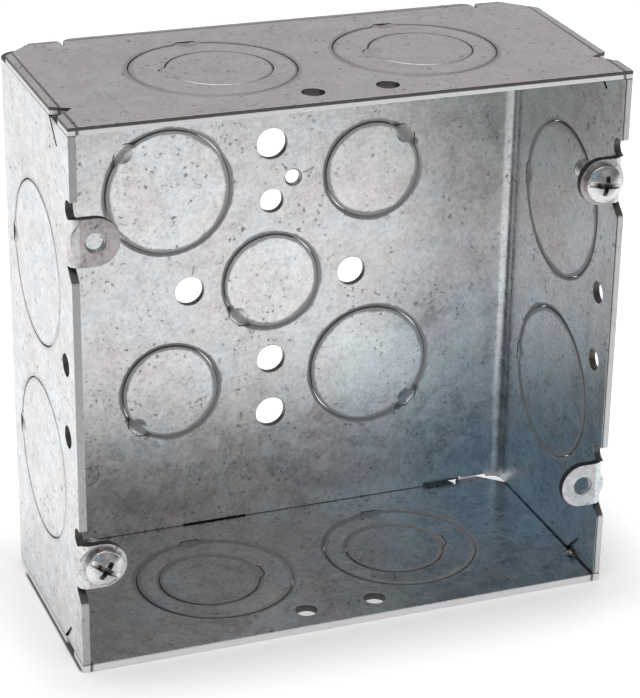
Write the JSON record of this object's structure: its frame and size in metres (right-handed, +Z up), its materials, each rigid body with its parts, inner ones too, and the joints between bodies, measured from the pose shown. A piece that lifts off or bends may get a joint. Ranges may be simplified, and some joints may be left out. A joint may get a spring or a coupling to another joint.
{
  "type": "junction box",
  "caption": "Square welded steel electrical junction box with an open front, prying knockouts in every wall, double knockouts above and below, cover ears and cover screws.",
  "frame": {"origin": "middle of the underside: half of the width, and half of the whole depth with the screw heads", "axes": "+X to the right seen from the open front, +Y from the mouth to the back, +Z up from the bottom plate to the top plate"},
  "size_m": [0.119, 0.0558, 0.1191],
  "materials": {
    "galvanised_sheet": "hot-dip galvanised, fine spangle, semi-matt",
    "knockout_disc": "hot-dip galvanised, fine spangle, semi-matt",
    "knockout_slug": "hot-dip galvanised, coined in the middle",
    "zinc_screw": "bright zinc plate"
  },
  "bodies": {
    "box": {"body_wrap": "galvanised_sheet", "top_plate": "galvanised_sheet", "bottom_plate": "galvanised_sheet"},
    "back_knockout_upper_left": {"back_knockout_upper_left": "knockout_disc"},
    "back_knockout_upper_right": {"back_knockout_upper_right": "knockout_disc"},
    "back_knockout_center": {"back_knockout_center": "knockout_disc"},
    "back_knockout_lower_left": {"back_knockout_lower_left": "knockout_disc"},
    "back_knockout_lower_right": {"back_knockout_lower_right": "knockout_disc"},
    "left_knockout_upper": {"left_knockout_upper": "knockout_disc"},
    "left_knockout_lower": {"left_knockout_lower": "knockout_disc"},
    "right_knockout_upper": {"right_knockout_upper": "knockout_disc"},
    "right_knockout_lower": {"right_knockout_lower": "knockout_disc"},
    "top_ring_left": {"top_ring_left": "knockout_disc"},
    "top_slug_left": {"top_slug_left": "knockout_slug"},
    "top_ring_right": {"top_ring_right": "knockout_disc"},
    "top_slug_right": {"top_slug_right": "knockout_slug"},
    "bottom_ring_left": {"bottom_ring_left": "knockout_disc"},
    "bottom_slug_left": {"bottom_slug_left": "knockout_slug"},
    "bottom_ring_right": {"bottom_ring_right": "knockout_disc"},
    "bottom_slug_right": {"bottom_slug_right": "knockout_slug"},
    "cover_screw_upper_right": {"cover_screw_upper_right": "zinc_screw"},
    "cover_screw_lower_left": {"cover_screw_lower_left": "zinc_screw"}
  },
  "joints": [
    {"name": "back_knockout_upper_left_bend", "type": "hinge", "parent": "box", "child": "back_knockout_upper_left", "pos_m": [-0.03459, 0.02634, 0.09412], "axis": [-0.7071, 0, -0.7071], "range_deg": [0, 40]},
    {"name": "back_knockout_upper_right_bend", "type": "hinge", "parent": "box", "child": "back_knockout_upper_right", "pos_m": [0.03247, 0.02634, 0.092], "axis": [-0.7071, 0, 0.7071], "range_deg": [0, 40]},
    {"name": "back_knockout_center_bend", "type": "hinge", "parent": "box", "child": "back_knockout_center", "pos_m": [-0.00877, 0.02634, 0.05076], "axis": [0.7071, 0, -0.7071], "range_deg": [0, 40]},
    {"name": "back_knockout_lower_left_bend", "type": "hinge", "parent": "box", "child": "back_knockout_lower_left", "pos_m": [-0.03247, 0.02634, 0.02706], "axis": [0.7071, 0, -0.7071], "range_deg": [0, 40]},
    {"name": "back_knockout_lower_right_bend", "type": "hinge", "parent": "box", "child": "back_knockout_lower_right", "pos_m": [0.03459, 0.02634, 0.02494], "axis": [0.7071, 0, 0.7071], "range_deg": [0, 40]},
    {"name": "left_knockout_upper_bend", "type": "hinge", "parent": "box", "child": "left_knockout_upper", "pos_m": [-0.05793, 0.01905, 0.08153], "axis": [0, 0, 1], "range_deg": [0, 35]},
    {"name": "left_knockout_lower_bend", "type": "hinge", "parent": "box", "child": "left_knockout_lower", "pos_m": [-0.05793, 0.01905, 0.03753], "axis": [0, 0, 1], "range_deg": [0, 35]},
    {"name": "right_knockout_upper_bend", "type": "hinge", "parent": "box", "child": "right_knockout_upper", "pos_m": [0.05793, 0.01905, 0.08153], "axis": [0, 0, -1], "range_deg": [0, 35]},
    {"name": "right_knockout_lower_bend", "type": "hinge", "parent": "box", "child": "right_knockout_lower", "pos_m": [0.05793, 0.01905, 0.03753], "axis": [0, 0, -1], "range_deg": [0, 35]},
    {"name": "top_ring_left_bend", "type": "hinge", "parent": "box", "child": "top_ring_left", "pos_m": [-0.022, 0.01905, 0.11746], "axis": [1, 0, 0], "range_deg": [0, 30]},
    {"name": "top_slug_left_bend", "type": "hinge", "parent": "top_ring_left", "child": "top_slug_left", "pos_m": [-0.0331, 0.00045, 0.11746], "axis": [0, 1, 0], "range_deg": [0, 35]},
    {"name": "top_ring_right_bend", "type": "hinge", "parent": "box", "child": "top_ring_right", "pos_m": [0.022, 0.01905, 0.11746], "axis": [1, 0, 0], "range_deg": [0, 30]},
    {"name": "top_slug_right_bend", "type": "hinge", "parent": "top_ring_right", "child": "top_slug_right", "pos_m": [0.0109, 0.00045, 0.11746], "axis": [0, 1, 0], "range_deg": [0, 35]},
    {"name": "bottom_ring_left_bend", "type": "hinge", "parent": "box", "child": "bottom_ring_left", "pos_m": [-0.022, 0.01905, 0.0016], "axis": [-1, 0, 0], "range_deg": [0, 30]},
    {"name": "bottom_slug_left_bend", "type": "hinge", "parent": "bottom_ring_left", "child": "bottom_slug_left", "pos_m": [-0.0109, 0.00045, 0.0016], "axis": [0, 1, 0], "range_deg": [0, 35]},
    {"name": "bottom_ring_right_bend", "type": "hinge", "parent": "box", "child": "bottom_ring_right", "pos_m": [0.022, 0.01905, 0.0016], "axis": [-1, 0, 0], "range_deg": [0, 30]},
    {"name": "bottom_slug_right_bend", "type": "hinge", "parent": "bottom_ring_right", "child": "bottom_slug_right", "pos_m": [0.0331, 0.00045, 0.0016], "axis": [0, 1, 0], "range_deg": [0, 35]},
    {"name": "cover_screw_upper_right_travel", "type": "slide", "parent": "box", "child": "cover_screw_upper_right", "axis": [0, -1, 0], "range_m": [0, 0.008]},
    {"name": "cover_screw_lower_left_travel", "type": "slide", "parent": "box", "child": "cover_screw_lower_left", "axis": [0, -1, 0], "range_m": [0, 0.008]}
  ]
}
